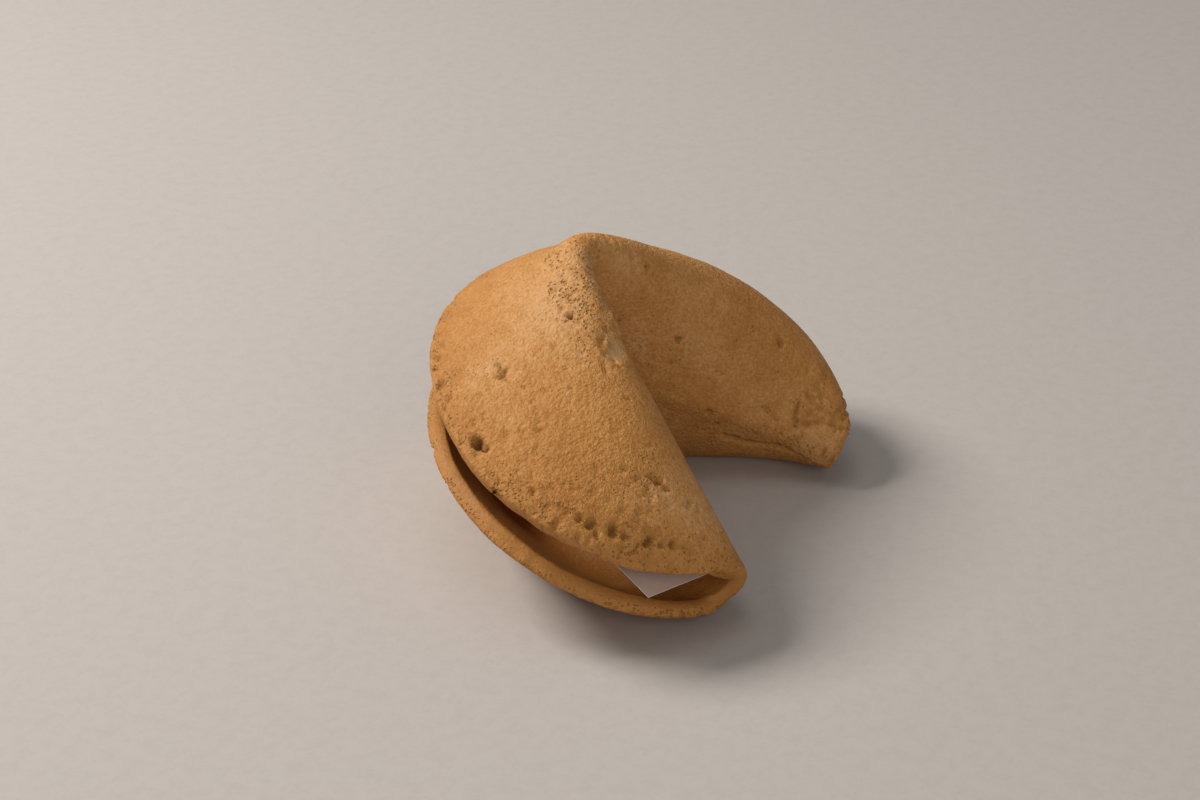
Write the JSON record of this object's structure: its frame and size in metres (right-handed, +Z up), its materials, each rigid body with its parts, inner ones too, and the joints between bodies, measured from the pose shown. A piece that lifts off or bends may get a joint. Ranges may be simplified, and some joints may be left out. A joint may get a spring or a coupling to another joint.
{
  "type": "fortune cookie",
  "caption": "Folded, bent wafer cookie with an open mouth between its horns and the corner of a blank paper slip peeping out of the gap at its rim",
  "frame": {"origin": "middle of the bounding box seen from above, at the level of the surface the cookie lies on", "axes": "+Z up; the horns run along X and their mouth opens to -Y; the rounded back with the rims of both layers is towards +Y"},
  "size_m": [0.0688, 0.0456, 0.0359],
  "materials": {
    "baked_wafer": "dry golden baked crust, finely porous",
    "slip_paper": "matt uncoated paper, blank"
  },
  "bodies": {
    "root": {"cookie_shell": "baked_wafer", "fortune_slip": "slip_paper"}
  },
  "joints": []
}
